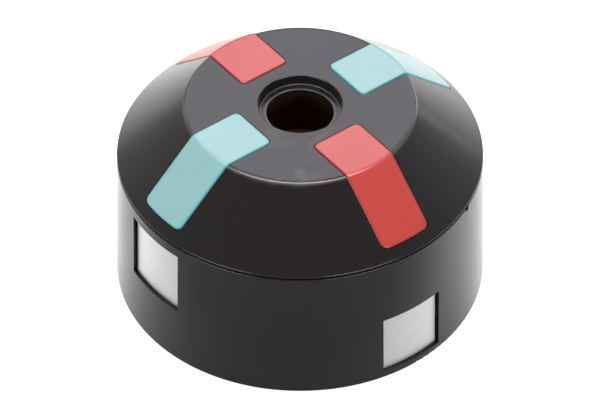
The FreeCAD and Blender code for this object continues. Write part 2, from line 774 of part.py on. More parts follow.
def build():
    write_sizes()
    base_housing()
    top_cover()
    inlays()
    tag_seat_ring()
    tag_well()
    magnet_stack()
    yoke_cup()
    magnet_carrier()
    for side in SIDES:
        side_set(*side)
    cover_screws()
    retainer_screws()
    foot_ring()
    doc.recompute()


def check():
    """Stop if any object failed or any sub-part is not a sound solid."""
    for thing in doc.Objects:
        if {"Invalid", "Error"} & set(thing.State):
            raise RuntimeError("%s failed: %s" % (thing.Name, thing.State))
    for name, part in parts.items():
        shape = part.Shape
        if shape.isNull() or not shape.isValid() or not shape.Solids:
            raise RuntimeError(name + " is not a valid solid")


def write():
    os.makedirs("parts", exist_ok=True)
    for name, part in parts.items():
        part.Shape.exportStep("parts/%s.step" % name)
        print("%-24s %d solid(s) %10.1f mm3" % (name, len(part.Shape.Solids), part.Shape.Volume))


build()
check()
write()
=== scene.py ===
"""Looks of a round countertop tag detacher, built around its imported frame.

Every class below is one sub-assembly, one finish or one effect. Lengths are in metres, +Z is up,
and the origin is the centre of the resting face. The windows look along +X, +Y, -X and -Y.
"""
import logging
import math
from dataclasses import dataclass, field
from enum import Enum
from typing import Any

import bmesh
import bpy
import numpy as np
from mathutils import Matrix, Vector


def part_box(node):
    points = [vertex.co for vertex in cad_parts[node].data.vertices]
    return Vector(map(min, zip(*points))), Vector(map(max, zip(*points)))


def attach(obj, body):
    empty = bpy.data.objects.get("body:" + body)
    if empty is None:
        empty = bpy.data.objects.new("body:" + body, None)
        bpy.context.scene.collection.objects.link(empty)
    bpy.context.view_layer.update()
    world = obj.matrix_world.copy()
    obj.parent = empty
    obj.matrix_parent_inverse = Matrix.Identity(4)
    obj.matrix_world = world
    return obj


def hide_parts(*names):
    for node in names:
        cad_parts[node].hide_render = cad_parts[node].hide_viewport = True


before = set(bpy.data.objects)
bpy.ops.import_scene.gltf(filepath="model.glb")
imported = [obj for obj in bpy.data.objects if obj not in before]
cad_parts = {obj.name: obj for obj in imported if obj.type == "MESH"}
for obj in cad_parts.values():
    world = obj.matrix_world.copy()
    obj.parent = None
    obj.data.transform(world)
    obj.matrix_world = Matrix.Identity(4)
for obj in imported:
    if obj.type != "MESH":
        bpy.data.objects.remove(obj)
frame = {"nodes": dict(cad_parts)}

log = logging.getLogger("detacher")
MM = 0.001
SIDES = ("right", "back", "left", "front")
Colour = tuple[float, float, float]
BRIGHT_NICKEL: Colour = (0.66, 0.64, 0.60)
PLAIN_STEEL: Colour = (0.42, 0.42, 0.43)


class Slot(Enum):
    """The material slots that the record names."""

    HOUSING = "housing_plastic"
    COVER = "cover_plastic"
    TEAL = "teal_inlay"
    RED = "red_inlay"
    SEAT = "seat_plastic"
    WELL = "well_plastic"
    RING_MAGNET = "ring_magnet"
    BLOCK_MAGNET = "block_magnet"
    POLE_STEEL = "pole_steel"
    YOKE_STEEL = "yoke_steel"
    CARRIER = "carrier_plastic"
    SHOE = "shoe_nickel"
    PLATE = "plate_steel"
    RETAINER = "retainer_steel"
    SCREW = "screw_steel"
    FOOT = "foot_rubber"


# ---- node graphs ----------------------------------------------------------------------------

class Graph:
    """Adds nodes to one node tree and joins them."""

    def __init__(self, tree: bpy.types.NodeTree) -> None:
        """Start on a tree.

        Args:
            tree: The material's, world's or group's own tree.
        """
        self.tree = tree

    def add(self, kind: str, inputs: dict[Any, Any] | None = None, **settings: Any) -> bpy.types.Node:
        """Add one node.

        Args:
            kind: Node type without its "ShaderNode" lead.
            inputs: Socket names or numbers, each with a constant or a socket to join it to.
            settings: Properties of the node.

        Returns:
            The new node.
        """
        node = self.tree.nodes.new(kind if kind.startswith("Node") else "ShaderNode" + kind)
        for name, setting in settings.items():
            setattr(node, name, setting)
        for name, value in (inputs or {}).items():
            if isinstance(value, bpy.types.NodeSocket):
                self.tree.links.new(value, node.inputs[name])
            else:
                node.inputs[name].default_value = value
        return node

    def math(self, operation: str, *values: Any, clamp: bool = False) -> bpy.types.NodeSocket:
        """Join values by one arithmetic step and give the result's socket."""
        node = self.add("Math", dict(enumerate(values)), operation=operation, use_clamp=clamp)
        return node.outputs[0]

    def ramp(self, value: Any, low: float, high: float, to_low: float = 0.0,
             to_high: float = 1.0) -> bpy.types.NodeSocket:
        """Map low..high smoothly to to_low..to_high, held outside."""
        node = self.add("MapRange", {"Value": value, "From Min": low, "From Max": high,
                                     "To Min": to_low, "To Max": to_high},
                        interpolation_type="SMOOTHSTEP")
        return node.outputs["Result"]

    def blend(self, factor: Any, first: Any, second: Any) -> bpy.types.NodeSocket:
        """Mix two colours by a factor."""
        node = self.add("Mix", {0: factor, 6: first, 7: second}, data_type="RGBA")
        return node.outputs[2]

    def noise(self, place: Any, scale: float, detail: float = 2.0, rough: float = 0.5,
              twist: float = 0.0) -> bpy.types.NodeSocket:
        """Fractal noise at a place, about 0.5 on average."""
        node = self.add("TexNoise", {"Vector": place, "Scale": scale, "Detail": detail,
                                     "Roughness": rough, "Distortion": twist})
        return node.outputs["Fac"]


def rgba(colour: Colour) -> tuple[float, float, float, float]:
    """A colour with full alpha."""
    return (*colour, 1.0)


class Effect:
    """One shared effect, kept as a shader node group with named inputs and outputs."""

    name = "effect"
    inputs: dict[str, tuple[str, Any]] = {}
    outputs: dict[str, str] = {}

    def __init__(self) -> None:
        """Make the group, its sockets and its nodes."""
        self.group = bpy.data.node_groups.new(self.name, "ShaderNodeTree")
        for label, (kind, default) in self.inputs.items():
            socket = self.group.interface.new_socket(name=label, in_out="INPUT",
                                                     socket_type="NodeSocket" + kind)
            if default is not None:
                socket.default_value = default
        for label, kind in self.outputs.items():
            self.group.interface.new_socket(name=label, in_out="OUTPUT",
                                            socket_type="NodeSocket" + kind)
        graph = Graph(self.group)
        source = graph.add("NodeGroupInput")
        results = self.build(graph, source.outputs)
        graph.add("NodeGroupOutput", results)

    def build(self, graph: Graph, given: Any) -> dict[str, bpy.types.NodeSocket]:
        """Add the nodes; each effect has its own.

        Args:
            graph: The group's graph.
            given: The group's input sockets.

        Returns:
            A socket for each named output.
        """
        raise NotImplementedError

    def use(self, graph: Graph, **inputs: Any) -> Any:
        """Place the effect in a material.

        Args:
            graph: The material's graph.
            inputs: Constants or sockets by input name, with underscores for blanks.

        Returns:
            The effect's output sockets, by name.
        """
        node = graph.add("Group")
        node.node_tree = self.group
        for label, value in inputs.items():
            socket = node.inputs[label.replace("_", " ")]
            if isinstance(value, bpy.types.NodeSocket):
                graph.tree.links.new(value, socket)
            else:
                socket.default_value = value
        return node.outputs


class MouldedGrain(Effect):
    """Fine spark-eroded grain with a slow change of gloss over it."""

    name = "moulded_grain"
    inputs = {"Place": ("Vector", None), "Grain": ("Float", 2500.0), "Patch": ("Float", 90.0)}
    outputs = {"Height": "Float", "Gloss": "Float"}

    def build(self, graph: Graph, given: Any) -> dict[str, bpy.types.NodeSocket]:
        """Height is two octaves of fine noise; Gloss is slow noise about zero.

        Args:
            graph: The group's graph.
            given: The group's input sockets.

        Returns:
            A socket for each named output.
        """
        fine = graph.add("TexNoise", {"Vector": given["Place"], "Scale": given["Grain"],
                                      "Detail": 2.0, "Roughness": 0.6}).outputs["Fac"]
        slow = graph.add("TexNoise", {"Vector": given["Place"], "Scale": given["Patch"],
                                      "Detail": 3.0, "Roughness": 0.55}).outputs["Fac"]
        return {"Height": fine, "Gloss": graph.math("SUBTRACT", slow, 0.5)}


class EdgeWear(Effect):
    """A mask that is 1 on rubbed edges: where the rounded normal leaves the true one."""

    name = "edge_wear"
    inputs = {"Place": ("Vector", None), "Radius": ("Float", 0.0004), "Breakup": ("Float", 700.0)}
    outputs = {"Mask": "Float", "Edge": "Float"}

    def build(self, graph: Graph, given: Any) -> dict[str, bpy.types.NodeSocket]:
        """Edge is one minus the dot product of both normals; Mask breaks it up by noise.

        Args:
            graph: The group's graph.
            given: The group's input sockets.

        Returns:
            A socket for each named output.
        """
        rounded = graph.add("Bevel", {"Radius": given["Radius"]}, samples=4).outputs["Normal"]
        true = graph.add("NewGeometry").outputs["Normal"]
        dot = graph.add("VectorMath", {0: rounded, 1: true}, operation="DOT_PRODUCT")
        edge = graph.ramp(graph.math("SUBTRACT", 1.0, dot.outputs["Value"]), 0.01, 0.22)
        rub = graph.add("TexNoise", {"Vector": given["Place"], "Scale": given["Breakup"],
                                     "Detail": 4.0}).outputs["Fac"]
        mask = graph.math("MULTIPLY", edge, graph.ramp(rub, 0.4, 0.62))
        return {"Mask": mask, "Edge": edge}


class Dust(Effect):
    """Fine specks and a thin film that lie only on faces that look up."""

    name = "dust"
    inputs = {"Place": ("Vector", None), "Specks": ("Float", 900.0), "Amount": ("Float", 0.5)}
    outputs = {"Mask": "Float"}

    def build(self, graph: Graph, given: Any) -> dict[str, bpy.types.NodeSocket]:
        """Small dots from cell noise, kept by slow noise, times how far the face looks up.

        Args:
            graph: The group's graph.
            given: The group's input sockets.

        Returns:
            A socket for each named output.
        """
        cells = graph.add("TexVoronoi", {"Vector": given["Place"], "Scale": given["Specks"]})
        dots = graph.ramp(cells.outputs["Distance"], 0.16, 0.05)
        keep = graph.ramp(graph.noise(given["Place"], 260.0, 2.0), 0.6, 0.7)
        up = graph.add("SeparateXYZ", {0: graph.add("NewGeometry").outputs["Normal"]})
        facing = graph.ramp(up.outputs["Z"], 0.3, 0.9)
        total = graph.math("MULTIPLY", graph.math("MULTIPLY", dots, keep), facing)
        return {"Mask": graph.math("MULTIPLY", total, given["Amount"])}


class FlowMarks(Effect):
    """Faint sweeps where the melt ran over the flat top, and a small pale spot at its gate."""

    name = "flow_marks"
    inputs = {"Place": ("Vector", None), "Gate": ("Vector", (0.0, 0.0, 0.0)),
              "Reach": ("Float", 0.034)}
    outputs = {"Streaks": "Float", "Blush": "Float"}

    def build(self, graph: Graph, given: Any) -> dict[str, bpy.types.NodeSocket]:
        """Streaks is slow noise stretched one way and kept near the gate, on its level.

        Blush is a soft uneven spot at the gate itself.

        Args:
            graph: The group's graph.
            given: The group's input sockets.

        Returns:
            A socket for each named output.
        """
        away = graph.add("VectorMath", {0: given["Place"], 1: given["Gate"]},
                         operation="SUBTRACT").outputs[0]
        far = graph.add("VectorMath", {0: away}, operation="LENGTH").outputs["Value"]
        drop = graph.add("SeparateXYZ", {0: away}).outputs["Z"]
        level = graph.ramp(drop, -0.0012, -0.0004)
        stretched = graph.add("Mapping", {"Vector": away, "Rotation": (0.0, 0.0, 0.5),
                                          "Scale": (45.0, 240.0, 60.0)}).outputs[0]
        sweeps = graph.ramp(graph.noise(stretched, 1.0, 2.0, 0.45, 0.9), 0.42, 0.8)
        fade = graph.ramp(graph.math("DIVIDE", far, given["Reach"]), 1.0, 0.15)
        streaks = graph.math("MULTIPLY", graph.math("MULTIPLY", sweeps, fade), level)
        uneven = graph.math("MULTIPLY_ADD", graph.noise(away, 500.0, 2.0), 0.003, far)
        blush = graph.math("MULTIPLY", graph.ramp(uneven, 0.0042, 0.0014), level)
        return {"Streaks": streaks, "Blush": blush}


class PaintedHighlightRing(Effect):
    """A painted highlight: a mask along a round edge, above a height and uneven round the ring."""

    name = "painted_highlight_ring"
    inputs = {"Place": ("Vector", None), "Radius": ("Float", 0.031), "Floor": ("Float", 0.057),
              "Width": ("Float", 0.0006)}
    outputs = {"Mask": "Float"}

    def build(self, graph: Graph, given: Any) -> dict[str, bpy.types.NodeSocket]:
        """How near the distance from the axis is to the radius, above a height, times noise.

        Args:
            graph: The group's graph.
            given: The group's input sockets.

        Returns:
            A socket for each named output.
        """
        parts = graph.add("SeparateXYZ", {0: given["Place"]}).outputs
        level = graph.add("CombineXYZ", {"X": parts["X"], "Y": parts["Y"], "Z": 0.0}).outputs[0]
        away = graph.add("VectorMath", {0: level}, operation="LENGTH").outputs["Value"]
        off = graph.math("ABSOLUTE", graph.math("SUBTRACT", away, given["Radius"]))
        near = graph.ramp(graph.math("DIVIDE", off, given["Width"]), 1.0, 0.2)
        above = graph.ramp(graph.math("SUBTRACT", parts["Z"], given["Floor"]), 0.0, 0.2 * MM)
        uneven = graph.ramp(graph.noise(given["Place"], 130.0, 3.0), 0.3, 0.7, 0.55, 1.0)
        return {"Mask": graph.math("MULTIPLY", graph.math("MULTIPLY", near, above), uneven)}


class Brushing(Effect):
    """Fine lines along one way with faint swirls, as on a polished and plated face."""

    name = "brushing"
    inputs = {"Place": ("Vector", None), "Lines": ("Float", 6000.0)}
    outputs = {"Height": "Float", "Swirl": "Float"}

    def build(self, graph: Graph, given: Any) -> dict[str, bpy.types.NodeSocket]:
        """Height is noise squeezed into upright lines; Swirl is noise that twists on itself.

        Args:
            graph: The group's graph.
            given: The group's input sockets.

        Returns:
            A socket for each named output.
        """
        squeezed = graph.add("Mapping", {"Vector": given["Place"],
                                         "Scale": (1.0, 1.0, 0.04)}).outputs[0]
        lines = graph.add("TexNoise", {"Vector": squeezed, "Scale": given["Lines"],
                                       "Detail": 2.0}).outputs["Fac"]
        swirl = graph.noise(given["Place"], 160.0, 4.0, 0.6, 1.6)
        return {"Height": lines, "Swirl": graph.math("SUBTRACT", swirl, 0.5)}


class Effects:
    """Every shared effect, built once."""

    def __init__(self) -> None:
        """Build the groups."""
        self.grain = MouldedGrain()
        self.wear = EdgeWear()
        self.dust = Dust()
        self.flow = FlowMarks()
        self.ring = PaintedHighlightRing()
        self.brushing = Brushing()


# ---- finishes -------------------------------------------------------------------------------

@dataclass(frozen=True)
class Finish:
    """What every finish has: a slot of the record, a colour and a gloss."""

    slot: Slot
    colour: Colour
    roughness: float

    def material(self, effects: Effects) -> bpy.types.Material:
        """Make the material.

        Args:
            effects: The shared effects.

        Returns:
            A material named for its slot.
        """
        made = bpy.data.materials.new("look_" + self.slot.value)
        made.use_nodes = True
        made.node_tree.nodes.clear()
        graph = Graph(made.node_tree)
        place = graph.add("TexCoord").outputs["Object"]
        shader = graph.add("BsdfPrincipled")
        graph.add("OutputMaterial", {"Surface": shader.outputs[0]})
        self.shade(graph, place, shader, effects)
        return made

    def shade(self, graph: Graph, place: bpy.types.NodeSocket, shader: bpy.types.Node,
              effects: Effects) -> None:
        """Feed the shader; each kind of finish has its own way.

        Args:
            graph: The material's graph.
            place: The Object coordinates.
            shader: The Principled shader to feed.
            effects: The shared effects.
        """
        raise NotImplementedError

    @staticmethod
    def feed(graph: Graph, shader: bpy.types.Node, **inputs: Any) -> None:
        """Set or join the shader's sockets.

        Args:
            graph: The material's graph.
            shader: The shader.
            inputs: Constants or sockets by name, with underscores for blanks.
        """
        for label, value in inputs.items():
            socket = shader.inputs[label.replace("_", " ")]
            if isinstance(value, bpy.types.NodeSocket):
                graph.tree.links.new(value, socket)
            else:
                socket.default_value = value


@dataclass(frozen=True)
class MouldedPlastic(Finish):
    """Satin injection-moulded plastic with fine grain, rubbed edges, dust, flow marks and painted
    highlight rings.
    """

    grain_depth: float = 0.01 * MM
    gloss_change: float = 0.10
    specular: float = 0.5
    rubbed: Colour = (0.05, 0.048, 0.05)
    rub_share: float = 0.35
    dust_share: float = 0.25
    gate: tuple[float, float, float] | None = None
    # Painted highlight rings, each lightening the colour along a round edge.
    rings: tuple[tuple[float, float, float], ...] = ()      # radius, lowest height, half width
    highlight_share: float = 0.3
    streak_share: float = 0.17
    blush_share: float = 0.2
    streak_gloss: float = 0.03
    dust_gloss: float = 0.2
    mark_colour: Colour = (0.16, 0.152, 0.155)
    highlight_colour: Colour = (0.16, 0.155, 0.16)
    dust_colour: Colour = (0.35, 0.34, 0.33)

    def shade(self, graph: Graph, place: bpy.types.NodeSocket, shader: bpy.types.Node,
              effects: Effects) -> None:
        """Colour, gloss and grain of the plastic.

        Args:
            graph: The material's graph.
            place: The Object coordinates.
            shader: The Principled shader to feed.
            effects: The shared effects.
        """
        grain = effects.grain.use(graph, Place=place)
        wear = effects.wear.use(graph, Place=place)
        dust = effects.dust.use(graph, Place=place)
        colour = graph.blend(graph.math("MULTIPLY", wear["Mask"], self.rub_share),
                             rgba(self.colour), rgba(self.rubbed))
        gloss = graph.math("MULTIPLY_ADD", grain["Gloss"], self.gloss_change, self.roughness)
        if self.gate is not None:
            flow = effects.flow.use(graph, Place=place, Gate=self.gate)
            marks = graph.math("ADD", graph.math("MULTIPLY", flow["Streaks"], self.streak_share),
                               graph.math("MULTIPLY", flow["Blush"], self.blush_share))
            colour = graph.blend(marks, colour, rgba(self.mark_colour))
            gloss = graph.math("MULTIPLY_ADD", flow["Streaks"], self.streak_gloss, gloss)
        # Painted highlight: the colour is lightened along each ring.
        for radius, floor, width in self.rings:
            ring = effects.ring.use(graph, Place=place, Radius=radius, Floor=floor, Width=width)
            colour = graph.blend(graph.math("MULTIPLY", ring["Mask"], self.highlight_share), colour,
                                 rgba(self.highlight_colour))
        colour = graph.blend(graph.math("MULTIPLY", dust["Mask"], self.dust_share),
                             colour, rgba(self.dust_colour))
        gloss = graph.math("MULTIPLY_ADD", dust["Mask"], self.dust_gloss, gloss)
        bump = graph.add("Bump", {"Height": grain["Height"], "Strength": 0.6,
                                  "Distance": self.grain_depth})
        self.feed(graph, shader, Base_Color=colour, Roughness=gloss, Normal=bump.outputs[0],
                  Specular_IOR_Level=self.specular)


@dataclass(frozen=True)
class InlayPlastic(Finish):
    """Coloured smooth plastic, with painted shade along its edges: a deeper tone there."""

    deep: Colour = (0.2, 0.2, 0.2)
    # Strength of the painted shade along the edges.
    edge_share: float = 1.3
    specular: float = 0.52
    dust_share: float = 0.15
    dust_colour: Colour = (0.8, 0.8, 0.78)

    def shade(self, graph: Graph, place: bpy.types.NodeSocket, shader: bpy.types.Node,
              effects: Effects) -> None:
        """Colour with slow change of tone, painted shade along the edges and fine grain.

        Args:
            graph: The material's graph.
            place: The Object coordinates.
            shader: The Principled shader to feed.
            effects: The shared effects.
        """
        grain = effects.grain.use(graph, Place=place, Grain=4000.0, Patch=140.0)
        edge = graph.add("Attribute", attribute_name="edge_shade").outputs["Fac"]
        dust = effects.dust.use(graph, Place=place, Specks=700.0)
        tone = graph.math("MULTIPLY_ADD", grain["Gloss"], 0.12, 0.04, clamp=True)
        colour = graph.blend(tone, rgba(self.colour), rgba(self.deep))
        # Painted shade: the deep colour laid along the edges.
        colour = graph.blend(graph.math("MULTIPLY", edge, self.edge_share, clamp=True),
                             colour, rgba(self.deep))
        colour = graph.blend(graph.math("MULTIPLY", dust["Mask"], self.dust_share),
                             colour, rgba(self.dust_colour))
        gloss = graph.math("MULTIPLY_ADD", grain["Gloss"], 0.08, self.roughness)
        bump = graph.add("Bump", {"Height": grain["Height"], "Strength": 0.4,
                                  "Distance": 0.004 * MM})
        self.feed(graph, shader, Base_Color=colour, Roughness=gloss, Normal=bump.outputs[0],
                  Specular_IOR_Level=self.specular)


@dataclass(frozen=True)
class PlatedMetal(Finish):
    """Plated steel: fine lines, faint swirls, bright edges."""

    edge_colour: Colour = (0.9, 0.88, 0.82)
    swirl: float = 0.06
    line_depth: float = 0.003 * MM
    tarnish: Colour = (0.5, 0.46, 0.38)
    patch_share: float = 0.22
    thread_share: float = 0.3
    edge_share: float = 0.6

    def shade(self, graph: Graph, place: bpy.types.NodeSocket, shader: bpy.types.Node,
              effects: Effects) -> None:
        """Metal colour with patches of tarnish, swirls in the gloss and bright edges.

        Args:
            graph: The material's graph.
            place: The Object coordinates.
            shader: The Principled shader to feed.
            effects: The shared effects.
        """
        lines = effects.brushing.use(graph, Place=place)
        wear = effects.wear.use(graph, Place=place, Radius=0.0005)
        patch = graph.ramp(graph.noise(place, 110.0, 3.0), 0.52, 0.8, 0.0, self.patch_share)
        colour = graph.blend(patch, rgba(self.colour), rgba(self.tarnish))
        thread = graph.ramp(graph.math("ABSOLUTE", lines["Swirl"]), 0.03, 0.0, 0.0,
                            self.thread_share)
        colour = graph.blend(thread, colour, rgba(self.tarnish))
        colour = graph.blend(graph.math("MULTIPLY", wear["Edge"], self.edge_share), colour,
                             rgba(self.edge_colour))
        gloss = graph.math("MULTIPLY_ADD", lines["Swirl"], self.swirl, self.roughness)
        bump = graph.add("Bump", {"Height": lines["Height"], "Strength": 0.5,
                                  "Distance": self.line_depth})
        self.feed(graph, shader, Base_Color=colour, Roughness=gloss, Metallic=1.0,
                  Normal=bump.outputs[0])


@dataclass(frozen=True)
class Rubber(Finish):
    """Matt rubber with a coarse skin and dusty marks."""

    scuff_share: float = 0.35
    scuff_colour: Colour = (0.09, 0.085, 0.08)

    def shade(self, graph: Graph, place: bpy.types.NodeSocket, shader: bpy.types.Node,
              effects: Effects) -> None:
        """Dark colour with pale scuffs and a pitted skin.

        Args:
            graph: The material's graph.
            place: The Object coordinates.
            shader: The Principled shader to feed.
            effects: The shared effects.
        """
        grain = effects.grain.use(graph, Place=place, Grain=1800.0, Patch=200.0)
        scuff = graph.ramp(graph.noise(place, 320.0, 5.0, 0.7), 0.55, 0.75, 0.0, self.scuff_share)
        colour = graph.blend(scuff, rgba(self.colour), rgba(self.scuff_colour))
        gloss = graph.math("MULTIPLY_ADD", grain["Gloss"], 0.15, self.roughness)
        bump = graph.add("Bump", {"Height": grain["Height"], "Strength": 0.8,
                                  "Distance": 0.02 * MM})
        self.feed(graph, shader, Base_Color=colour, Roughness=gloss, Normal=bump.outputs[0])


# ---- sub-assemblies -------------------------------------------------------------------------

@dataclass
class SubAssembly:
    """A group of the frame's nodes that share finishes."""

    nodes: dict[str, bpy.types.Object] = field(default_factory=lambda: frame["nodes"])

    def dress(self, names: tuple[str, ...], finish: Finish, effects: Effects) -> None:
        """Give frame nodes a finish.

        Args:
            names: The nodes.
            finish: What they get.
            effects: The shared effects.
        """
        material = finish.material(effects)
        for name in names:
            mesh = self.nodes[name].data
            for index in range(max(1, len(mesh.materials))):
                if index < len(mesh.materials):
                    mesh.materials[index] = material
                else:
                    mesh.materials.append(material)
            log.info("%s wears %s", name, material.name)

    def build(self, effects: Effects) -> None:
        """Make and dress the pieces; each sub-assembly has its own."""
        raise NotImplementedError


@dataclass
class Shells(SubAssembly):
    """The two black shells."""

    black: Colour = (0.0085, 0.0068, 0.0078)
    roughness: float = 0.21
    specular: float = 0.33
    gate: tuple[float, float, float] = (-0.0165, -0.0216, 0.0589)
    # Painted highlight along the flat's rounded edge: radius, lowest height, half width.
    flat_edge_highlight: tuple[float, float, float] = (30.85 * MM, 57.7 * MM, 0.75 * MM)

    def build(self, effects: Effects) -> None:
        """Dress the cover and the housing.

        Args:
            effects: The shared effects.
        """
        cover = MouldedPlastic(Slot.COVER, self.black, self.roughness, specular=self.specular,
                               gate=self.gate, rings=(self.flat_edge_highlight,))
        housing = MouldedPlastic(Slot.HOUSING, self.black, self.roughness,
                                 specular=self.specular)
        self.dress(("top_cover",), cover, effects)
        self.dress(("base_housing",), housing, effects)


@dataclass(frozen=True)
class CoverLine:
    """The cover's outer line from its axis outwards: flat top, rounding, cone.

    A point on it is named by its distance s from the axis, measured along the line.
    """

    top: float                          # height of the flat
    flat_radius: float = 30.8 * MM      # where flat and cone would meet without the rounding
    rounding: float = 1.8 * MM
    slope: float = math.atan2(16.95 * MM, 18.35 * MM)   # the cone's fall and its run

    @property
    def flat_end(self) -> float:
        """Where the rounding starts: the meeting radius less the tangent's length."""
        return self.flat_radius - self.rounding * math.tan(self.slope / 2)

    @property
    def cone_start(self) -> float:
        """Where the rounding ends, along the line."""
        return self.flat_end + self.rounding * self.slope

    def along(self, radius: float) -> float:
        """The s of a point on the cone, from its radius."""
        foot = self.flat_end + self.rounding * math.sin(self.slope)
        return self.cone_start + (radius - foot) / math.cos(self.slope)

    def place(self, s: np.ndarray, lift: np.ndarray) -> tuple[np.ndarray, np.ndarray]:
        """Radius and height at s, raised square to the line by lift.

        The line turns by an angle that grows from 0 to the slope over the rounding, so the radius
        is s held at the flat's end, plus the rounding times the angle's sine, plus the run of the
        cone times the slope's cosine; the height falls the same way.

        Args:
            s: Distances along the line.
            lift: Distances outwards from it.

        Returns:
            Radii and heights.
        """
        turn = np.clip((s - self.flat_end) / self.rounding, 0.0, self.slope)
        run = np.maximum(s - self.cone_start, 0.0)
        radius = np.minimum(s, self.flat_end) + self.rounding * np.sin(turn)
        height = self.top - self.rounding * (1.0 - np.cos(turn))
        radius = radius + run * math.cos(self.slope) + lift * np.sin(turn)
        height = height - run * math.sin(self.slope) + lift * np.cos(turn)
        return radius, height


@dataclass
class Inlays(SubAssembly):
    """The coloured strips on the cover, crowned a little and rounded along their edges."""

    teal: Colour = (0.165, 0.29, 0.30)
    red: Colour = (0.32, 0.032, 0.027)
    # Deep tones, for the slow change of tone and for the painted shade along the edges.
    deep_teal: Colour = (0.015, 0.20, 0.20)
    deep_red: Colour = (0.16, 0.003, 0.003)
    roughness: float = 0.3
    width: float = 15.2 * MM
    inner_end: float = 15.15 * MM       # axis to the straight inner end
    outer_radius: float = 46.65 * MM
    corner: float = 1.75 * MM
    proud: float = 0.25 * MM
    depth: float = 0.98 * MM            # underside below the cover's surface
    edge_round: float = 0.45 * MM
    crown: float = 0.06 * MM
    lead: float = 10.0 * MM             # length over which the straight end turns into arcs
    # Width of the painted shade along the edges.
    shade_width: float = 0.55 * MM      # band along the edges with a deeper tone

    def build(self, effects: Effects) -> None:
        """Make both pairs in place of the frame's plain strips.

        Args:
            effects: The shared effects.
        """
        finishes = {
            "teal": InlayPlastic(Slot.TEAL, self.teal, self.roughness, deep=self.deep_teal),
            "red": InlayPlastic(Slot.RED, self.red, self.roughness, deep=self.deep_red)}
        materials = {tone: finish.material(effects) for tone, finish in finishes.items()}
        for quarter, side in enumerate(SIDES):
            tone = "red" if side in ("front", "back") else "teal"
            piece = self.strip("%s_strip_%s" % (tone, side), quarter)
            piece.data.materials.append(materials[tone])
            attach(piece, "root")
            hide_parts("%s_inlay_%s" % (tone, side))
            log.info("%s stands for the inlay on the %s side", piece.name, side)

    def rings(self) -> tuple[np.ndarray, np.ndarray]:
        """Inset and lift of each ring, from the middle of the underside to the crown's ridge.

        The underside and side are straight; then inset is the edge radius times one minus the
        cosine, and lift falls short of the top by the radius times one minus the sine, as the
        angle goes from 0 to a right angle; on top, lift grows by the crown times one minus the
        square of the way left to the ridge.

        Returns:
            Insets and lifts, one of each per ring.
        """
        half, radius = self.width / 2, self.edge_round
        angle = np.linspace(0.0, math.pi / 2, 7)
        inset = radius + (half - radius) * np.linspace(0.0, 1.0, 10)[1:] ** 1.3
        rise = self.crown * (1.0 - ((half - inset) / (half - radius)) ** 2)
        insets = np.concatenate(([half, half / 2, radius, 0.0, 0.0],
                                 radius * (1.0 - np.cos(angle)), inset))
        lifts = np.concatenate(([-self.depth] * 4, [-self.depth / 2],
                                self.proud - radius * (1.0 - np.sin(angle)), self.proud + rise))
        return insets, lifts

    def loop(self, inset: np.ndarray, length: float, knots: np.ndarray
             ) -> tuple[np.ndarray, np.ndarray]:
        """Rounded rectangles, one for each inset, all with the same number of points.

        Each has straight sides at half the width less the inset, ends at the inset, and corners
        whose radius shrinks in step with what is left of the half width.

        Args:
            inset: Ring insets, as a column.
            length: Length of the strip along the cover's line.
            knots: Where the long sides have their points.

        Returns:
            Positions along and across the strip, rings by points.
        """
        half = self.width / 2
        corner = self.corner * (1.0 - inset / half)
        low, high, side = inset + corner, length - inset - corner, half - inset
        quarter = np.linspace(0.0, math.pi / 2, 9)[None, :]
        across = np.linspace(-1.0, 1.0, 13)[None, 1:-1] * (side - corner)
        out, up = corner * np.sin(quarter), corner * np.cos(quarter)
        sides = np.clip(knots[None, :], low, high)
        flat = np.ones_like(sides) * side
        along = [sides, high + out, np.ones_like(across) * (length - inset),
                 high + out[:, ::-1], sides[:, ::-1], low - out,
                 np.ones_like(across) * inset, low - out[:, ::-1]]
        beside = [-flat, corner - side - up, across, side - corner + up[:, ::-1], flat,
                  side - corner + up, -across, corner - side - up[:, ::-1]]
        return np.hstack(along), np.hstack(beside)

    def strip(self, name: str, quarter: int) -> bpy.types.Object:
        """One closed strip, turned by quarter turns about the axis.

        Args:
            name: Name of the piece.
            quarter: Quarter turns from +X.

        Returns:
            The piece, smooth, with a point attribute that is 1 along its edges, where shade is
            painted.
        """
        line = CoverLine(float(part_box("top_cover")[1][2]))
        length = line.along(self.outer_radius) - self.inner_end
        bend = line.flat_end - self.inner_end, line.cone_start - self.inner_end
        knots = np.concatenate((np.linspace(0.0, bend[0], 30)[:-1],
                                np.linspace(bend[0], bend[1], 11)[:-1],
                                np.linspace(bend[1], length, 40)))
        insets, lifts = self.rings()
        along, across = self.loop(insets[:, None], length, knots)
        start = np.hypot(self.inner_end, across) - self.inner_end
        fade = np.clip(1.0 - along / self.lead, 0.0, 1.0) ** 2
        radius, height = line.place(self.inner_end + along + start * fade,
                                    lifts[:, None] * np.ones_like(along))
        out = np.sqrt(radius ** 2 - across ** 2)
        turn = quarter * math.pi / 2
        points = np.stack((out * math.cos(turn) - across * math.sin(turn),
                           out * math.sin(turn) + across * math.cos(turn), height), axis=-1)
        # Where shade is painted: 1 at the edge, falling to nothing over the shade width.
        shade = np.clip(1.0 - insets / self.shade_width, 0.0, 1.0)[:, None] * np.ones_like(along)
        return closed_tube(name, points, {"edge_shade": shade})


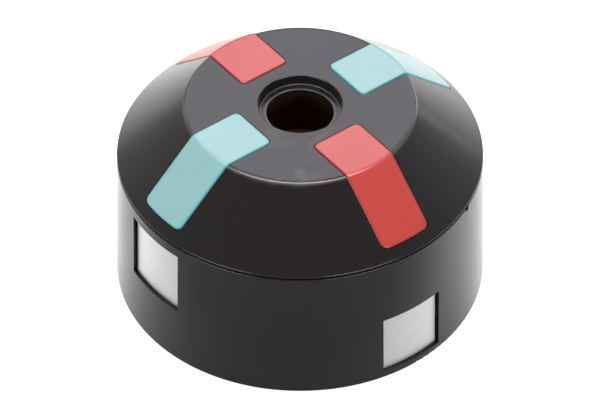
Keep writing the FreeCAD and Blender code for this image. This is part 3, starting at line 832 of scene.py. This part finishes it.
def closed_tube(name: str, points: np.ndarray, values: dict[str, np.ndarray]) -> bpy.types.Object:
    """A mesh from rings of points, closed round each ring, whose ends fold shut on themselves.

    Args:
        name: Name of the piece.
        points: Rings by points by three.
        values: Point attributes, rings by points each.

    Returns:
        The linked, smooth object, with its doubles merged and its faces outwards.
    """
    rings, count = points.shape[:2]
    index = np.arange(rings * count).reshape(rings, count)
    after = np.roll(index, -1, axis=1)
    quads = np.stack((index[:-1], after[:-1], after[1:], index[1:]), axis=-1).reshape(-1, 4)
    mesh = bpy.data.meshes.new(name)
    mesh.from_pydata(points.reshape(-1, 3).tolist(), [], quads.tolist())
    for label, value in values.items():
        mesh.attributes.new(label, "FLOAT", "POINT").data.foreach_set("value", value.ravel())
    work = bmesh.new()
    work.from_mesh(mesh)
    bmesh.ops.remove_doubles(work, verts=work.verts, dist=0.5e-6)
    bmesh.ops.recalc_face_normals(work, faces=work.faces)
    work.to_mesh(mesh)
    work.free()
    mesh.polygons.foreach_set("use_smooth", np.ones(len(mesh.polygons), dtype=bool))
    mesh.update()
    piece = bpy.data.objects.new(name, mesh)
    bpy.context.scene.collection.objects.link(piece)
    return piece


@dataclass
class Well(SubAssembly):
    """The seat ring and the dark well under it."""

    seat: Colour = (0.009, 0.0085, 0.0085)
    seat_rubbed: Colour = (0.12, 0.115, 0.11)
    dark: Colour = (0.021, 0.0075, 0.001)
    # Painted highlights along the seat ring's two lips: radius, lowest height, half width.
    inner_lip_highlight: tuple[float, float, float] = (9.2 * MM, 55.5 * MM, 0.45 * MM)
    outer_lip_highlight: tuple[float, float, float] = (10.35 * MM, 56.3 * MM, 0.4 * MM)

    def build(self, effects: Effects) -> None:
        """Dress both pieces.

        Args:
            effects: The shared effects.
        """
        seat = MouldedPlastic(Slot.SEAT, self.seat, 0.26, rubbed=self.seat_rubbed, specular=0.3,
                              rings=(self.inner_lip_highlight, self.outer_lip_highlight))
        well = MouldedPlastic(Slot.WELL, self.dark, 0.6, specular=0.1, dust_share=0.05)
        self.dress(("tag_seat_ring",), seat, effects)
        self.dress(("tag_well",), well, effects)


@dataclass
class MagnetStack(SubAssembly):
    """Magnets, steel and carrier inside the housing."""

    nickel: Colour = BRIGHT_NICKEL
    steel: Colour = PLAIN_STEEL
    yoke_tarnish: Colour = (0.45, 0.42, 0.30)
    carrier: Colour = (0.09, 0.09, 0.1)

    def build(self, effects: Effects) -> None:
        """Dress what the shells hide.

        Args:
            effects: The shared effects.
        """
        self.dress(("upper_ring_magnet", "lower_ring_magnet", "core_magnet"),
                   PlatedMetal(Slot.RING_MAGNET, self.nickel, 0.25), effects)
        self.dress(("flux_spacer_ring", "pole_tip"),
                   PlatedMetal(Slot.POLE_STEEL, self.steel, 0.38), effects)
        self.dress(("yoke_cup",), PlatedMetal(Slot.YOKE_STEEL, self.steel, 0.42,
                                              tarnish=self.yoke_tarnish), effects)
        self.dress(("magnet_carrier",), MouldedPlastic(Slot.CARRIER, self.carrier, 0.5),
                   effects)


@dataclass
class SideMagnets(SubAssembly):
    """The plated faces in the windows and what holds them."""

    nickel: Colour = (0.625, 0.622, 0.622)
    nickel_tarnish: Colour = (0.50, 0.50, 0.49)
    steel: Colour = PLAIN_STEEL

    def build(self, effects: Effects) -> None:
        """Dress the four sets.

        Args:
            effects: The shared effects.
        """
        self.dress(tuple("pole_shoe_" + side for side in SIDES),
                   PlatedMetal(Slot.SHOE, self.nickel, 0.47, swirl=0.12,
                               tarnish=self.nickel_tarnish), effects)
        self.dress(tuple("side_magnet_" + side for side in SIDES),
                   PlatedMetal(Slot.BLOCK_MAGNET, BRIGHT_NICKEL, 0.25), effects)
        self.dress(tuple("backing_plate_" + side for side in SIDES),
                   PlatedMetal(Slot.PLATE, self.steel, 0.42), effects)
        self.dress(tuple("magnet_retainer_" + side for side in SIDES),
                   PlatedMetal(Slot.RETAINER, self.steel, 0.36), effects)


@dataclass
class Fasteners(SubAssembly):
    """Screws and the rubber foot."""

    screw: Colour = (0.5, 0.5, 0.52)
    rubber: Colour = (0.022, 0.022, 0.022)

    def build(self, effects: Effects) -> None:
        """Dress the screws and the foot.

        Args:
            effects: The shared effects.
        """
        self.dress(("cover_screws", "retainer_screws"),
                   PlatedMetal(Slot.SCREW, self.screw, 0.32), effects)
        self.dress(("foot_ring",), Rubber(Slot.FOOT, self.rubber, 0.85), effects)


# ---- studio ---------------------------------------------------------------------------------

@dataclass(frozen=True)
class Softbox:
    """A rectangular lamp that looks at the object's middle."""

    name: str
    bearing: float          # degrees round the object from the camera's side, to its right
    height: float           # degrees above the floor
    away: float             # distance from the object's middle
    size: tuple[float, float]
    radiance: float
    tint: Colour = (1.0, 1.0, 1.0)


@dataclass
class Studio:
    """A pale floor, soft lamps and the camera."""

    bearing: float = -37.45
    elevation: float = 43.27
    distance: float = 1.5
    lens: float = 332.2
    target: Vector = field(default_factory=lambda: Vector((0.0, 0.0, 0.0201)))
    floor_half: float = 6.0
    floor_drop: float = 0.05 * MM       # keeps the sheet off the foot's own face
    floor_colour: Colour = (0.33, 0.33, 0.33)
    floor_lift: float = 0.95
    floor_glow: float = 1.13
    glow_bearing: float = 174.0
    glow_fade: float = 65.0 * MM        # how far in front of the axis the glow dies away
    glow_tint: Colour = (1.0, 0.972, 0.962)
    room_front: float = 0.2
    room_back: float = 0.74
    room_turn: float = 0.5              # half the span over which the room goes dim to pale
    boxes: tuple[Softbox, ...] = (
        Softbox("back_box", 180.0, 42.0, 1.6, (1.15, 0.7), 3.15, (1.0, 0.955, 1.055)),
        Softbox("top_box", 180.0, 89.5, 1.2, (1.15, 0.3), 17.0, (1.0, 0.99, 0.985)),
        Softbox("left_fill", -45.0, 16.0, 1.3, (0.8, 0.4), 10.0, (1.0, 0.99, 0.98)),
        Softbox("right_fill", 33.0, 16.0, 1.3, (0.8, 0.4), 10.0, (1.0, 0.99, 0.98)),
        Softbox("right_back_box", 142.0, 14.0, 1.5, (0.5, 0.45), 4.2, (1.0, 0.98, 0.98)),
    )

    def direction(self, bearing: float, height: float) -> Vector:
        """The way from the object to a point.

        Args:
            bearing: Degrees from the camera's side, growing to the camera's right.
            height: Degrees above the floor.

        Returns:
            A vector of length one.
        """
        turn, rise = math.radians(self.bearing + bearing), math.radians(height)
        return Vector((math.sin(turn) * math.cos(rise), -math.cos(turn) * math.cos(rise),
                       math.sin(rise)))

    def aim(self, thing: bpy.types.Object) -> None:
        """Turn a lamp or camera towards the target."""
        thing.rotation_euler = (self.target - thing.location).to_track_quat("-Z", "Y").to_euler()

    def build(self) -> None:
        """Set up floor, lamps, world and camera."""
        self.lay_floor()
        for box in self.boxes:
            self.hang(box)
        self.tint_world()
        self.place_camera()

    def lay_floor(self) -> None:
        """A wide flat sheet just under the foot.

        The camera sees it white. To everything else it glows behind the object, and the glow
        falls smoothly to nothing over its fade in front of the axis.
        """
        half, low = self.floor_half, -self.floor_drop
        mesh = bpy.data.meshes.new("floor")
        mesh.from_pydata([(-half, -half, low), (half, -half, low), (half, half, low),
                          (-half, half, low)], [], [(0, 1, 2, 3)])
        floor = bpy.data.objects.new("floor", mesh)
        bpy.context.scene.collection.objects.link(floor)
        paper = bpy.data.materials.new("floor_paper")
        paper.use_nodes = True
        paper.node_tree.nodes.clear()
        graph = Graph(paper.node_tree)
        sheet = graph.add("BsdfDiffuse", {"Color": rgba(self.floor_colour)})
        seen = graph.add("LightPath").outputs["Is Camera Ray"]
        place = graph.add("TexCoord").outputs["Object"]
        back = tuple(self.direction(self.glow_bearing, 0.0))
        behind = graph.add("VectorMath", {0: place, 1: back},
                           operation="DOT_PRODUCT").outputs["Value"]
        glow = graph.ramp(behind, -self.glow_fade, 0.0, 0.0, self.floor_glow)
        level = graph.math("MAXIMUM", graph.math("MULTIPLY", seen, self.floor_lift), glow)
        lift = graph.add("Emission", {"Color": rgba(self.glow_tint), "Strength": level})
        both = graph.add("AddShader", {0: sheet.outputs[0], 1: lift.outputs[0]})
        graph.add("OutputMaterial", {"Surface": both.outputs[0]})
        mesh.materials.append(paper)

    def hang(self, box: Softbox) -> None:
        """Hang one lamp; its power is its radiance times pi times its area.

        Args:
            box: The lamp.
        """
        data = bpy.data.lights.new(box.name, "AREA")
        data.shape = "RECTANGLE"
        data.size, data.size_y = box.size
        data.energy = box.radiance * math.pi * box.size[0] * box.size[1]
        data.color = box.tint
        lamp = bpy.data.objects.new(box.name, data)
        bpy.context.scene.collection.objects.link(lamp)
        lamp.location = self.target + self.direction(box.bearing, box.height) * box.away
        self.aim(lamp)

    def tint_world(self) -> None:
        """A room that is pale behind the object and dim behind the camera."""
        world = bpy.data.worlds.new("room")
        bpy.context.scene.world = world
        world.use_nodes = True
        world.node_tree.nodes.clear()
        graph = Graph(world.node_tree)
        way = graph.add("TexCoord").outputs["Generated"]
        behind = -self.direction(0.0, 0.0)
        turned = graph.add("VectorMath", {0: way, 1: tuple(behind)}, operation="DOT_PRODUCT")
        level = graph.ramp(turned.outputs["Value"], -self.room_turn, self.room_turn,
                           self.room_front, self.room_back)
        light = graph.add("Background", {"Color": (1.0, 1.0, 1.0, 1.0), "Strength": level})
        graph.add("OutputWorld", {"Surface": light.outputs[0]})

    def place_camera(self) -> None:
        """The camera, looking down at the object from in front."""
        data = bpy.data.cameras.new("camera")
        data.lens = self.lens
        data.sensor_width = 36.0
        data.clip_start, data.clip_end = 0.05, 50.0
        camera = bpy.data.objects.new("camera", data)
        bpy.context.scene.collection.objects.link(camera)
        camera.location = self.target + self.direction(0.0, self.elevation) * self.distance
        self.aim(camera)
        bpy.context.scene.camera = camera
        bpy.context.scene.view_settings.view_transform = "Standard"


def main() -> None:
    """Build every sub-assembly in order, logging each one's name, then the studio."""
    logging.basicConfig(level=logging.INFO, format="%(message)s")
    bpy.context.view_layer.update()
    effects = Effects()
    for assembly in (Shells(), Inlays(), Well(), MagnetStack(), SideMagnets(), Fasteners()):
        log.info("%s", type(assembly).__name__)
        assembly.build(effects)
    Studio().build()


if __name__ == "__main__":
    main()
